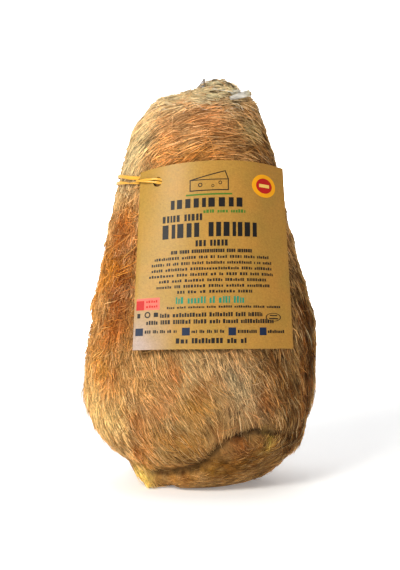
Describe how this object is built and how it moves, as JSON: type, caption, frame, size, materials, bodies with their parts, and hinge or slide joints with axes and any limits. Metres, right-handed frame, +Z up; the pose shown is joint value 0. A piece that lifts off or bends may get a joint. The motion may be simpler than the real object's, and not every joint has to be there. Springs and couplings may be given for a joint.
{
  "type": "tulum cheese",
  "caption": "Cheese in a pear-shaped hairy goatskin sack with gathered top and folded base, a kraft card on its front held by a thin elastic band.",
  "frame": {"origin": "middle of the flat spot that the sack rests on", "axes": "+Z up along the sack to its gathered top, -Y the side with the card, +X to the right of the card"},
  "size_m": [0.1485, 0.1267, 0.2562],
  "materials": {
    "hide": "short goat hair in rust, gold, straw and brown over skin",
    "kraft": "unbleached kraft card, matt, with plain printed bars",
    "elastic": "flat golden elastic",
    "white_hide": "pale scraped hide with a cut end"
  },
  "bodies": {
    "root": {"sack": "hide", "card": "kraft", "band": "elastic", "neck_strip": "white_hide"}
  },
  "joints": []
}
